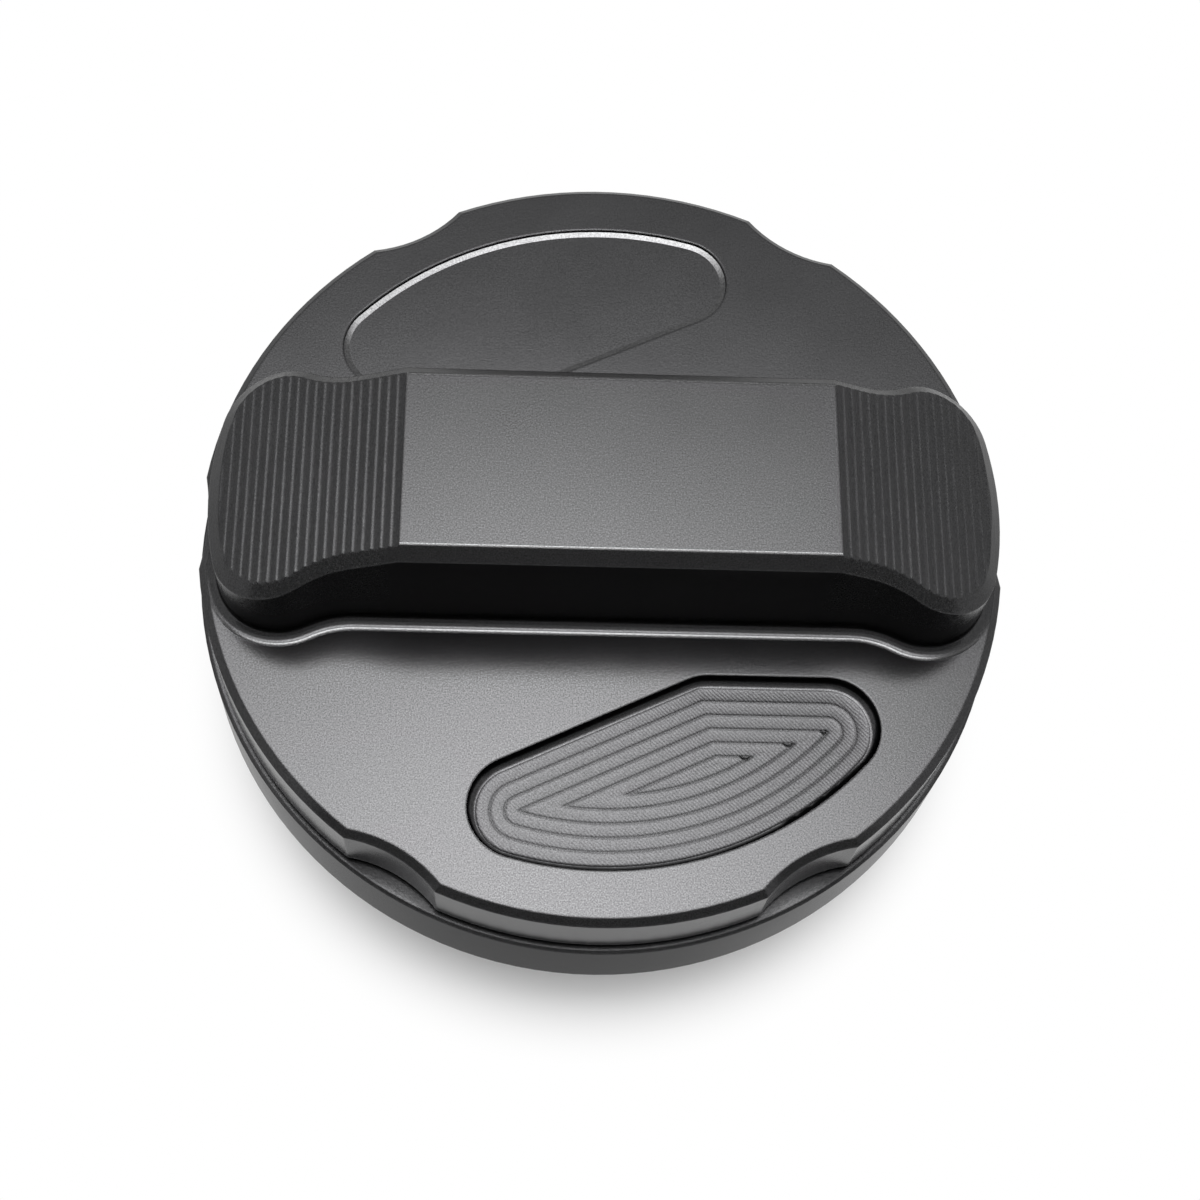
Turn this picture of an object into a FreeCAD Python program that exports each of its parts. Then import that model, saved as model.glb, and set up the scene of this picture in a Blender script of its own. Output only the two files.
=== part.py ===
import FreeCAD, Part
import math
import os

V = FreeCAD.Vector
UP = V(0, 0, 1)
CENTRE = V(0, 0, 0)
os.makedirs("parts", exist_ok=True)

# Screw-on fuel cap: a billet knob that runs over a torque-limiting ratchet on its base flange,
# with a threaded neck plug below that holds a pressure and vacuum vent valve.
# All sizes are in millimetres. Z is the cap's axis, zero at the foot of the neck, and the
# grip bar lies along X.

# Running and fitting clearances
run_gap = 0.05
slide_gap = 0.2
screw_gap = 0.04
hole_end_gap = 0.2

# How far cutting tools and the blank run past the finished part, and how far joined shapes lap
cut_over = 1.0
blank_spare = 6.0
fuse_lap = 0.1

# Knob disc
face_r = 39.0
rim_chamfer = 0.72
rim_wall_h = 6.5
scallop_count = 6
scallop_r = 13.8
scallop_depth = 1.25
end_scallop_r = 25.0
end_scallop_depth = 0.8

# Dog-bone grip bar on the knob
grip_h = 15.3
grip_half_w = 10.0
grip_bulb_half = 11.83
grip_bulb_r = 5.9
grip_end_r = 29.4
grip_end_x = 38.1
grip_neck_r = 10.5
grip_chamfer = 1.3
grip_land_w = 1.1
grip_land_h = 0.12
grip_fillet = 1.0
grip_root = 1.0

# Ribbed pads that fall away at both ends of the bar
pad_start_left = 19.4
pad_start_right = 21.2
pad_drop = 7.8
rib_pitch = 0.95
rib_depth = 0.13
rib_skim = 0.05

# Teardrop pockets, one on each side of the bar, the back one shallow
pocket_depth = 1.6
pocket_floor_fillet = 0.8
back_pocket_depth = 0.4
back_pocket_fillet = 0.25
pocket_corner_r = 5.0
pocket_outer_r = 34.5
pocket_side_y = 15.05
pocket_slant_deg = 25.1
pocket_slant_off = 17.5

# Base flange and the seam above it
neck_len = 20.0
flange_h = 9.2
flange_ledge = 0.62
flange_edge = 0.3
flange_foot_edge = 0.2
lip_h = 2.6
lip_bore_r = 24.0
seam_h = 1.0

# Knob hub in the flange bore, and the wire ring that keeps it there
hub_wall = 1.8
hub_drop = 2.7
hub_root = 0.5
wire_r = 0.45
wire_groove_gap = 0.06
wire_ring_z_above_hub = 1.0
wire_ring_gap_deg = 14.0

# Slip ring in the seam
slip_in_gap = 1.0
slip_out_gap = 2.12

# Ratchet
tooth_count = 24
tooth_h = 1.0
tooth_in_r = 21.0
tooth_out_r = 27.4
tooth_root_deg = 0.4
tooth_mesh_gap = 0.1
tooth_bury = 0.3
ring_rim = 0.1
ring_side_gap = 0.3
recess_depth = 3.3
drive_in_r = 16.0
drive_body_h = 1.9
detent_body_h = 1.4
key_count = 3
key_w = 4.0
key_reach = 1.4
key_root = 1.0
key_slot_depth = 1.6

# Wave spring under the detent ring
wave_in_r = 17.5
wave_out_r = 23.5
wave_t = 0.35
wave_count = 3

# Screws under the drive ring
drive_screw_angles = (0, 60, 180, 240)
drive_screw_ring_r = 18.6
drive_screw_r = 1.0
drive_head_r = 1.75
drive_head_h = 0.9
drive_screw_bite = 1.7

# Threaded plug
plug_root_r = 20.3
gasket_step = 0.6
foot_wall = 1.0
plug_flange_h = 3.6
plug_lead = 1.2
collar_r = 16.4
collar_h = 4.3
chamber_r = 13.0
plug_floor_z = 2.0
plug_floor_t = 2.0
inlet_r = 6.5
seat_in_r = 8.0
seat_out_r = 9.2
seat_h = 1.0
core_in_r = 15.8
core_out_r = 17.8
core_h = 15.0
core_rib_count = 6
core_rib_w = 1.8

# Screws that hold the plug in the flange
plug_screw_count = 6
plug_screw_ring_r = 26.9
plug_screw_r = 1.5
plug_screw_head_r = 2.6
plug_screw_head_h = 1.3
plug_screw_bite = 2.0
plug_screw_slot = 1.2
plug_screw_slot_h = 0.7

# Neck gasket
gasket_t = 2.6
gasket_out_r = 27.0
gasket_round = 0.8

# Pressure valve
seal_in_r = 5.6
seal_out_r = 10.4
seal_t = 1.2
plate_r = 11.6
plate_t = 1.0
plate_rim_h = 0.8
plate_rim_t = 0.8
guide_bore_r = 1.3
guide_r = 2.4
guide_h = 2.6
plate_hole_count = 4
plate_hole_r = 0.8
plate_hole_ring_r = 4.3
pressure_coil_r = 8.9
pressure_wire_r = 0.6
pressure_turns = 5.0
retainer_z = 21.0
retainer_t = 1.4
retainer_hole_r = 4.5
retainer_vent_count = 6
retainer_vent_r = 1.1
retainer_vent_ring_r = 6.4
snap_t = 1.0
snap_in_r = 11.5
snap_bite = 0.8
snap_gap_deg = 34.0
snap_ear_r = 1.5
snap_ear_hole_r = 0.6

# Vacuum valve
poppet_r = 6.2
poppet_t = 1.1
stem_top_z = 14.6
stem_groove_r = 0.8
clip_z = 13.2
clip_t = 0.6
clip_r = 3.9
vacuum_coil_r = 3.1
vacuum_wire_r = 0.25
vacuum_turns = 5.0

# Radii that follow from the ones above, from the ratchet out to the seam
detent_out_r = tooth_out_r + ring_rim
drive_out_r = detent_out_r + ring_rim
recess_r = drive_out_r + ring_side_gap
hub_r = recess_r + ring_rim + hub_wall
flange_bore_r = hub_r + slide_gap
plug_flange_r = flange_bore_r - slide_gap
knob_r = face_r + rim_chamfer
flange_r = knob_r + flange_ledge
slip_in_r = flange_bore_r + slip_in_gap
slip_out_r = knob_r - slip_out_gap
stem_r = guide_bore_r - run_gap
gasket_seat_r = plug_root_r + gasket_step

# Heights up the cap's axis
z_flange = neck_len
z_gasket = z_flange - gasket_t
z_lip = z_flange + lip_h
z_plug_top = z_lip + plug_flange_h
z_collar = z_plug_top + collar_h
z_seam = z_flange + flange_h
z_knob = z_seam + seam_h
z_face = z_knob + rim_wall_h + rim_chamfer
z_grip = z_face + grip_h
z_roof = z_knob + recess_depth
z_drive = z_roof - drive_body_h
z_tip = z_drive - tooth_h
z_detent_top = z_tip - tooth_mesh_gap
z_detent = z_detent_top - detent_body_h
z_floor = plug_floor_z + plug_floor_t
z_seat = z_floor + seat_h
z_plate = z_seat + seal_t
z_plate_top = z_plate + plate_t
pitch_deg = 360.0 / tooth_count


def turned(points):
    """A solid turned about the cap's axis from (radius, height) points."""
    wire = Part.makePolygon([V(r, 0, z) for r, z in points + points[:1]])
    return Part.Face(wire).revolve(CENTRE, UP, 360)


def ring(r_in, r_out, z0, z1):
    return turned([(r_in, z0), (r_out, z0), (r_out, z1), (r_in, z1)])


def post(r, z0, z1, x=0.0, y=0.0):
    return Part.makeCylinder(r, z1 - z0, V(x, y, z0))


def polar(r, deg, z=0.0):
    return V(r * math.cos(math.radians(deg)), r * math.sin(math.radians(deg)), z)


def around(shape, deg):
    copy = shape.copy()
    copy.rotate(CENTRE, UP, deg)
    return copy


def save(node, shape):
    Part.Compound(shape.Solids).exportStep("parts/" + node + ".step")


def grip_outline(grow, z):
    """Dog-bone outline of the bar: straight middle, hollow necks, round bulbs and curved ends."""
    half_w = grip_half_w + grow
    bulb_r = grip_bulb_r + grow
    end_r = grip_end_r + grow
    neck_r = grip_neck_r - grow
    end_x = grip_end_x + grow
    end_cx = end_x - end_r
    bulb_cy = grip_bulb_half - grip_bulb_r
    bulb_cx = end_cx + math.sqrt((end_r - bulb_r) ** 2 - bulb_cy ** 2)
    neck_cy = half_w + neck_r
    neck_cx = bulb_cx - math.sqrt((neck_r + bulb_r) ** 2 - (neck_cy - bulb_cy) ** 2)
    share = bulb_r / (neck_r + bulb_r)
    turn = V(bulb_cx + (neck_cx - bulb_cx) * share, bulb_cy + (neck_cy - bulb_cy) * share, z)
    lean = math.atan2(bulb_cx - neck_cx, neck_cy - bulb_cy)
    tip_deg = math.atan2(bulb_cy, bulb_cx - end_cx)
    start = V(neck_cx, half_w, z)
    neck_mid = V(neck_cx + neck_r * math.sin(lean / 2), neck_cy - neck_r * math.cos(lean / 2), z)
    mid_deg = (math.pi / 2 + lean + tip_deg) / 2
    bulb_mid = V(bulb_cx + bulb_r * math.cos(mid_deg), bulb_cy + bulb_r * math.sin(mid_deg), z)
    tip = V(end_cx + end_r * math.cos(tip_deg), end_r * math.sin(tip_deg), z)
    nose = V(end_x, 0, z)

    def flip(p, sx, sy):
        return V(p.x * sx, p.y * sy, p.z)

    edges = []
    for sx, sy in ((1, 1), (1, -1), (-1, -1), (-1, 1)):
        s, a, t = flip(start, sx, sy), flip(neck_mid, sx, sy), flip(turn, sx, sy)
        b, e = flip(bulb_mid, sx, sy), flip(tip, sx, sy)
        edges.append(Part.Arc(s, a, t).toShape())
        edges.append(Part.Arc(t, b, e).toShape())
    for sx in (1, -1):
        ends = (flip(tip, sx, 1), flip(nose, sx, 1), flip(tip, sx, -1))
        edges.append(Part.Arc(*ends).toShape())
    for sy in (1, -1):
        edges.append(Part.makeLine(flip(start, -1, sy), flip(start, 1, sy)))
    return Part.Wire(Part.__sortEdges__(edges))


def bevel_envelope(slope, side, start_x):
    """Everything under one sloped top with its edge bevelled: a flat bevelled block, sheared along Z."""
    flare = 1.0
    deep = 90.0
    wide = 4 * grip_end_x
    z_flare = z_grip - grip_chamfer - flare
    loops = [grip_outline(flare, z_flare), grip_outline(-grip_chamfer, z_grip)]
    block = Part.makeBox(wide, wide, deep, V(-wide / 2, -wide / 2, z_flare - deep))
    block = block.fuse(Part.makeLoft(loops, True, True))
    shear = FreeCAD.Matrix()
    shear.A31 = -side * slope
    shear.A34 = slope * start_x
    return block.transformGeometry(shear)


def rib_comb(side, start_x):
    """Row of round-bottomed cuts across one pad, with sharp crests between them."""
    far = 6.0
    run = grip_end_x - start_x
    slope = math.atan2(pad_drop, run)
    along = (math.cos(slope), -math.sin(slope))
    down = (-math.sin(slope), -math.cos(slope))
    count = int(math.hypot(run, pad_drop) / rib_pitch) + 2

    def on(i, depth):
        x = start_x + along[0] * i * rib_pitch + down[0] * depth
        z = z_grip + along[1] * i * rib_pitch + down[1] * depth
        return V(side * x, -grip_end_x, z)

    edges = []
    for i in range(count):
        ends = (on(i, rib_skim), on(i + 0.5, rib_skim + rib_depth), on(i + 1, rib_skim))
        edges.append(Part.Arc(*ends).toShape())
    last, first = on(count, rib_skim), on(0, rib_skim)
    top = z_grip + far
    edges.append(Part.makeLine(last, V(last.x, last.y, top)))
    edges.append(Part.makeLine(V(last.x, last.y, top), V(first.x, first.y, top)))
    edges.append(Part.makeLine(V(first.x, first.y, top), first))
    return Part.Face(Part.Wire(edges)).extrude(V(0, 2 * grip_end_x, 0))


def grip_bar(z0):
    """The bar from z0 up, with its flat top, its falling pads, its bevelled edge and its ribs."""
    bar = Part.Face(grip_outline(0.0, z0)).extrude(V(0, 0, z_grip - z0))
    bar = bar.common(bevel_envelope(0.0, 1, 0.0))
    for side, start_x in ((-1, pad_start_left), (1, pad_start_right)):
        slope = pad_drop / (grip_end_x - start_x)
        bar = bar.common(bevel_envelope(slope, side, start_x))
    for side, start_x in ((-1, pad_start_left), (1, pad_start_right)):
        bar = bar.cut(rib_comb(side, start_x))
    return bar


def pocket_cutter(depth, floor_fillet):
    """Teardrop pocket on the front side: two sides, an outer arc and one corner radius."""
    slant = math.radians(pocket_slant_deg)
    along = V(math.cos(slant), math.sin(slant), 0)
    away = V(math.sin(slant), -math.cos(slant), 0)
    base = V(0, 0, z_face - depth)
    mid_r = pocket_outer_r - pocket_corner_r
    side_cy = -(pocket_side_y + pocket_corner_r)
    big = V(math.sqrt(mid_r ** 2 - side_cy ** 2), side_cy, 0)
    slant_off = pocket_slant_off + pocket_corner_r
    small = away * slant_off - along * math.sqrt(mid_r ** 2 - slant_off ** 2)
    bend_x = (side_cy + slant_off * math.cos(slant)) / math.sin(slant) * math.cos(slant)
    bend = V(bend_x + slant_off * math.sin(slant), side_cy, 0)
    bend_up = V(-math.sin(slant / 2), math.cos(slant / 2), 0)

    def out(c):
        return c * (pocket_outer_r / c.Length)

    def corner(a, c, b):
        middle = (a - c) + (b - c)
        middle.normalize()
        return Part.Arc(a + base, c + middle * pocket_corner_r + base, b + base).toShape()

    side_a = bend + V(0, pocket_corner_r, 0)
    side_b = big + V(0, pocket_corner_r, 0)
    slant_a = small - away * pocket_corner_r
    slant_b = bend - away * pocket_corner_r
    bottom = out(big) + out(small)
    bottom.normalize()
    outer = Part.Arc(out(big) + base, bottom * pocket_outer_r + base, out(small) + base)
    edges = [Part.makeLine(side_a + base, side_b + base), corner(side_b, big, out(big))]
    edges += [outer.toShape(), corner(out(small), small, slant_a)]
    edges.append(Part.makeLine(slant_a + base, slant_b + base))
    bend_mid = bend + bend_up * pocket_corner_r
    edges.append(Part.Arc(slant_b + base, bend_mid + base, side_a + base).toShape())
    tool = Part.Face(Part.Wire(Part.__sortEdges__(edges))).extrude(V(0, 0, depth + cut_over))
    foot = [e for e in tool.Edges if e.BoundBox.ZMax < base.z + 1e-6]
    return tool.makeFillet(floor_fillet, foot)


def tooth(z_base, z_low, z_high, at_deg):
    """One ramped face tooth: a steep radial face at its start and a long ramp after it."""
    a, b = at_deg, at_deg + pitch_deg - tooth_root_deg
    low = [polar(tooth_in_r, a, z_base), polar(tooth_out_r, a, z_base)]
    low += [polar(tooth_out_r, b, z_base), polar(tooth_in_r, b, z_base)]
    top = [polar(tooth_in_r, a, z_high), polar(tooth_out_r, a, z_high)]
    top += [polar(tooth_out_r, b, z_low), polar(tooth_in_r, b, z_low)]
    loops = [low, [top[0], top[1], top[2]], [top[0], top[2], top[3]]]
    for i in range(4):
        j = (i + 1) % 4
        loops.append([low[i], low[j], top[j], top[i]])
    faces = [Part.Face(Part.makePolygon(loop + loop[:1])) for loop in loops]
    solid = Part.Solid(Part.Shell(faces))
    if solid.Volume < 0:
        solid.reverse()
    return solid


def coil(mean_r, wire_r, z0, z1, turns):
    """Round-wire compression spring whose wire just reaches both seats."""
    height = z1 - z0 - 2 * wire_r
    path = Part.Wire(Part.makeLongHelix(height / turns, height, mean_r).Edges)
    section = Part.Wire(Part.makeCircle(wire_r, V(mean_r, 0, 0), V(0, 1, 0)))
    shape = path.makePipeShell([section], True, True)
    shape.translate(V(0, 0, z0 + wire_r))
    return shape


# Knob: disc and bar are one billet, so the bar is blended into a larger blank before the rim is cut.
blank = post(face_r + blank_spare, z_knob, z_face)
land = Part.Face(grip_outline(grip_land_w, z_face - grip_root)).extrude(V(0, 0, grip_root + grip_land_h))
billet = blank.fuse(land).fuse(grip_bar(z_face - grip_root)).removeSplitter()
z_land = z_face + grip_land_h
foot_line = []
for edge in billet.Edges:
    box = edge.BoundBox
    if abs(box.ZMin - z_land) < 1e-4 and abs(box.ZMax - z_land) < 1e-4:
        middle = edge.valueAt((edge.FirstParameter + edge.LastParameter) / 2)
        if billet.isInside(middle + UP * 0.3, 1e-3, True):
            foot_line.append(edge)
billet = billet.makeFillet(grip_fillet, foot_line)
rim = [(0, z_knob), (knob_r, z_knob), (knob_r, z_face - rim_chamfer), (face_r, z_face)]
rim += [(face_r, z_grip + cut_over), (0, z_grip + cut_over)]
knob = billet.common(turned(rim))

# Six edge scallops carry the rim chamfer with them. The two beyond the bar's ends are shallower.
z_clear = z_face + 2 * grip_fillet


def scallop_cutter(hollow_r, depth):
    top_r = hollow_r + rim_chamfer
    cut = [(0, z_knob - cut_over), (hollow_r, z_knob - cut_over), (hollow_r, z_face - rim_chamfer)]
    cut += [(top_r, z_face), (top_r, z_clear), (0, z_clear)]
    tool = turned(cut)
    tool.translate(V(knob_r - depth + hollow_r, 0, 0))
    return tool


side_scallop = scallop_cutter(scallop_r, scallop_depth)
end_scallop = scallop_cutter(end_scallop_r, end_scallop_depth)
for i in range(scallop_count):
    tool = end_scallop if i % (scallop_count // 2) == 0 else side_scallop
    knob = knob.cut(around(tool, i * 360.0 / scallop_count))

knob = knob.cut(pocket_cutter(pocket_depth, pocket_floor_fillet))
knob = knob.cut(around(pocket_cutter(back_pocket_depth, back_pocket_fillet), 180))

# Underside: the ratchet recess, the screw holes in its roof and the hub that hangs in the flange bore.
z_hub = z_knob - hub_drop
hub = ring(hub_r - hub_wall, hub_r, z_hub, z_knob + hub_root)
knob = knob.cut(post(recess_r, z_knob - cut_over, z_roof)).fuse(hub)
z_wire = z_hub + wire_ring_z_above_hub
wire_ring_r = (hub_r + flange_bore_r) / 2
groove_w = wire_r + wire_groove_gap
wire_groove = ring(wire_ring_r - groove_w, wire_ring_r + groove_w, z_wire - groove_w, z_wire + groove_w)
knob = knob.cut(wire_groove)
z_bite = z_roof + drive_screw_bite
for deg in drive_screw_angles:
    at = polar(drive_screw_ring_r, deg)
    knob = knob.cut(post(drive_screw_r + screw_gap, z_roof - cut_over, z_bite + hole_end_gap, at.x, at.y))
save("knob", knob.removeSplitter())

# Base flange: turned ring with an inner lip, the wire groove and six tapped holes.
body = [(lip_bore_r, z_flange), (flange_r - flange_foot_edge, z_flange)]
body += [(flange_r, z_flange + flange_foot_edge), (flange_r, z_seam - flange_edge)]
body += [(flange_r - flange_edge, z_seam), (flange_bore_r, z_seam)]
body += [(flange_bore_r, z_lip), (lip_bore_r, z_lip)]
base_flange = turned(body).cut(wire_groove)
plug_screw_at = [polar(plug_screw_ring_r, i * 360.0 / plug_screw_count) for i in range(plug_screw_count)]
for at in plug_screw_at:
    z_hole = z_lip - plug_screw_bite - hole_end_gap
    hole = post(plug_screw_r + screw_gap, z_hole, z_lip + cut_over, at.x, at.y)
    base_flange = base_flange.cut(hole)
save("base_flange", base_flange)

# Slip ring in the seam, and the wire ring that locks hub and flange together.
save("slip_ring", ring(slip_in_r, slip_out_r, z_seam, z_knob - run_gap))
section = Part.Face(Part.Wire(Part.makeCircle(wire_r, V(wire_ring_r, 0, z_wire), V(0, 1, 0))))
save("retaining_ring", section.revolve(CENTRE, UP, 360.0 - wire_ring_gap_deg))

# Drive ring: teeth point down, screwed flat against the roof of the knob's recess.
drive = ring(drive_in_r, drive_out_r, z_drive, z_roof)
start = tooth_root_deg / 2
teeth = []
for i in range(tooth_count):
    flipped = tooth(z_drive + tooth_bury, z_drive + run_gap, z_tip, 0.0)
    flipped = flipped.mirror(CENTRE, V(0, 1, 0))
    teeth.append(around(flipped, (i + 1) * pitch_deg - start))
drive = drive.multiFuse(teeth)
z_head = z_drive + drive_head_h
screws = []
for deg in drive_screw_angles:
    at = polar(drive_screw_ring_r, deg)
    drive = drive.cut(post(drive_screw_r + screw_gap, z_drive - cut_over, z_roof + cut_over, at.x, at.y))
    drive = drive.cut(post(drive_head_r + run_gap, z_drive - cut_over, z_head, at.x, at.y))
    screw = post(drive_head_r, z_drive, z_head, at.x, at.y)
    screws.append(screw.fuse(post(drive_screw_r, z_head - fuse_lap, z_bite, at.x, at.y)))
save("drive_ring", drive.removeSplitter())
save("drive_ring_screws", Part.Compound(screws))

# Detent ring: teeth point up, keys on its bore slide in the slots of the plug's collar.
detent_in_r = collar_r + slide_gap
detent = ring(detent_in_r, detent_out_r, z_detent, z_detent_top)
teeth = []
for i in range(tooth_count):
    z_root, z_crest = z_detent_top - tooth_bury, z_detent_top + tooth_h
    teeth.append(tooth(z_root, z_detent_top - run_gap, z_crest, i * pitch_deg + start))
detent = detent.multiFuse(teeth)
key_len = key_reach + key_root
for i in range(key_count):
    key = Part.makeBox(key_len, key_w, detent_body_h, V(collar_r - key_reach, -key_w / 2, z_detent))
    detent = detent.fuse(around(key, i * 360.0 / key_count))
save("detent_ring", detent.removeSplitter())

# Wave spring: a flat steel ring bent into waves that touch the plug below and the detent ring above.
wave_mid = (z_plug_top + z_detent) / 2
wave_amp = (z_detent - z_plug_top - wave_t - run_gap) / 2


def wave_edge(r, dz):
    points = []
    steps = 12 * wave_count
    for i in range(steps):
        deg = i * 360.0 / steps
        points.append(polar(r, deg, wave_mid + wave_amp * math.cos(math.radians(deg * wave_count)) + dz))
    curve = Part.BSplineCurve()
    curve.interpolate(points, PeriodicFlag=True)
    return curve.toShape()


low_in, low_out = wave_edge(wave_in_r, -wave_t / 2), wave_edge(wave_out_r, -wave_t / 2)
top_in, top_out = wave_edge(wave_in_r, wave_t / 2), wave_edge(wave_out_r, wave_t / 2)
pairs = ((low_in, low_out), (low_out, top_out), (top_out, top_in), (top_in, low_in))
shell = Part.Shell([Part.makeRuledSurface(a, b) for a, b in pairs])
shell.sewShape()
wave = Part.Solid(shell)
if wave.Volume < 0:
    wave.reverse()
save("wave_spring", wave)

# Threaded plug: one moulding with the neck, the screwed flange, the keyed collar and the valve chamber.
shoulder_r = lip_bore_r - run_gap
body = [(inlet_r, plug_floor_z), (chamber_r + foot_wall, plug_floor_z), (chamber_r + foot_wall, 0)]
body += [(plug_root_r - plug_lead, 0), (plug_root_r, plug_lead), (plug_root_r, z_gasket)]
body += [(gasket_seat_r, z_gasket), (gasket_seat_r, z_flange)]
body += [(shoulder_r, z_flange), (shoulder_r, z_lip), (plug_flange_r, z_lip), (plug_flange_r, z_plug_top)]
body += [(collar_r, z_plug_top), (collar_r, z_collar), (chamber_r, z_collar)]
body += [(chamber_r, z_floor), (seat_out_r, z_floor), (seat_out_r, z_seat), (seat_in_r, z_seat)]
body += [(seat_in_r, z_floor), (inlet_r, z_floor)]
plug = turned(body)
cores = ring(core_in_r, core_out_r, -cut_over, core_h)
for i in range(core_rib_count):
    corner = V(0, -core_rib_w / 2, -2 * cut_over)
    web = Part.makeBox(core_out_r + cut_over, core_rib_w, core_h + 3 * cut_over, corner)
    cores = cores.cut(around(web, (i + 0.5) * 360.0 / core_rib_count))
plug = plug.cut(cores)
slot_w = key_w + slide_gap
for i in range(key_count):
    corner = V(collar_r - key_slot_depth, -slot_w / 2, z_plug_top)
    slot = Part.makeBox(key_slot_depth + cut_over, slot_w, collar_h + cut_over, corner)
    plug = plug.cut(around(slot, i * 360.0 / key_count))
z_snap = retainer_z + retainer_t
snap_groove_r = chamber_r + snap_bite
plug = plug.cut(ring(chamber_r - cut_over, snap_groove_r + run_gap, z_snap, z_snap + snap_t + run_gap))
screws = []
z_head = z_plug_top - plug_screw_head_h
for at in plug_screw_at:
    plug = plug.cut(post(plug_screw_r + screw_gap, z_lip - cut_over, z_plug_top + cut_over, at.x, at.y))
    sink = Part.makeCone(plug_screw_r, plug_screw_head_r, plug_screw_head_h, V(at.x, at.y, z_head))
    plug = plug.cut(sink)
    screw = sink.fuse(post(plug_screw_r, z_lip - plug_screw_bite, z_head + fuse_lap, at.x, at.y))
    z_cut = z_plug_top - plug_screw_slot_h
    corner = V(at.x - plug_screw_head_r, at.y - plug_screw_slot / 2, z_cut)
    slot = Part.makeBox(2 * plug_screw_head_r, plug_screw_slot, plug_screw_slot_h, corner)
    screws.append(screw.cut(slot))
save("threaded_plug", plug.removeSplitter())
save("plug_screws", Part.Compound(screws))

# Neck gasket: moulded rubber ring under the flange, rounded where it meets the filler neck.
body = [(gasket_seat_r + run_gap, z_gasket), (gasket_out_r, z_gasket), (gasket_out_r, z_flange)]
body.append((gasket_seat_r + run_gap, z_flange))
gasket = turned(body)
foot = [e for e in gasket.Edges if e.BoundBox.ZMax < z_gasket + 1e-6]
outer = [e for e in foot if e.BoundBox.XMax > gasket_out_r - 0.1]
save("neck_gasket", gasket.makeFillet(gasket_round, outer))

# Pressure valve: rubber seal on the seat ring, its carrier plate and the spring that shuts it.
save("valve_seal", ring(seal_in_r, seal_out_r, z_seat, z_plate))
z_guide = z_plate_top + guide_h
body = [(guide_bore_r, z_plate), (plate_r, z_plate), (plate_r, z_plate_top + plate_rim_h)]
body += [(plate_r - plate_rim_t, z_plate_top + plate_rim_h), (plate_r - plate_rim_t, z_plate_top)]
body += [(guide_r, z_plate_top), (guide_r, z_guide), (guide_bore_r, z_guide)]
plate = turned(body)
for i in range(plate_hole_count):
    at = polar(plate_hole_ring_r, (i + 0.5) * 360.0 / plate_hole_count)
    plate = plate.cut(post(plate_hole_r, z_plate - cut_over, z_plate_top + cut_over, at.x, at.y))
save("pressure_plate", plate)
save("pressure_spring", coil(pressure_coil_r, pressure_wire_r, z_plate_top, retainer_z, pressure_turns))

# Spring retainer: perforated disc, held down by a snap ring in the chamber's groove.
retainer = ring(retainer_hole_r, chamber_r - run_gap, retainer_z, z_snap)
for i in range(retainer_vent_count):
    at = polar(retainer_vent_ring_r, i * 360.0 / retainer_vent_count)
    retainer = retainer.cut(post(retainer_vent_r, retainer_z - cut_over, z_snap + cut_over, at.x, at.y))
save("spring_retainer", retainer)
half_gap = snap_gap_deg / 2
loop = [V(snap_in_r, 0, z_snap), V(snap_groove_r, 0, z_snap)]
loop += [V(snap_groove_r, 0, z_snap + snap_t), V(snap_in_r, 0, z_snap + snap_t)]
section = Part.Face(Part.makePolygon(loop + loop[:1]))
snap = around(section.revolve(CENTRE, UP, 360.0 - snap_gap_deg), half_gap)
for deg in (half_gap, -half_gap):
    at = polar(snap_in_r, deg)
    snap = snap.fuse(post(snap_ear_r, z_snap, z_snap + snap_t, at.x, at.y))
    snap = snap.cut(post(snap_ear_hole_r, z_snap - cut_over, z_snap + snap_t + cut_over, at.x, at.y))
save("snap_ring", snap.removeSplitter())

# Vacuum valve: poppet with a grooved stem through the plate's guide, its spring and the clip on top.
body = [(0, z_seat - poppet_t), (poppet_r, z_seat - poppet_t), (poppet_r, z_seat), (stem_r, z_seat)]
body += [(stem_r, clip_z), (stem_groove_r, clip_z), (stem_groove_r, clip_z + clip_t)]
body += [(stem_r, clip_z + clip_t), (stem_r, stem_top_z), (0, stem_top_z)]
save("vacuum_poppet", turned(body))
clip = ring(stem_groove_r, clip_r, clip_z, clip_z + clip_t)
corner = V(0, -stem_groove_r, clip_z - cut_over)
mouth = Part.makeBox(clip_r + cut_over, 2 * stem_groove_r, clip_t + 2 * cut_over, corner)
save("poppet_clip", clip.cut(mouth))
save("vacuum_spring", coil(vacuum_coil_r, vacuum_wire_r, z_plate_top, clip_z, vacuum_turns))
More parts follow.
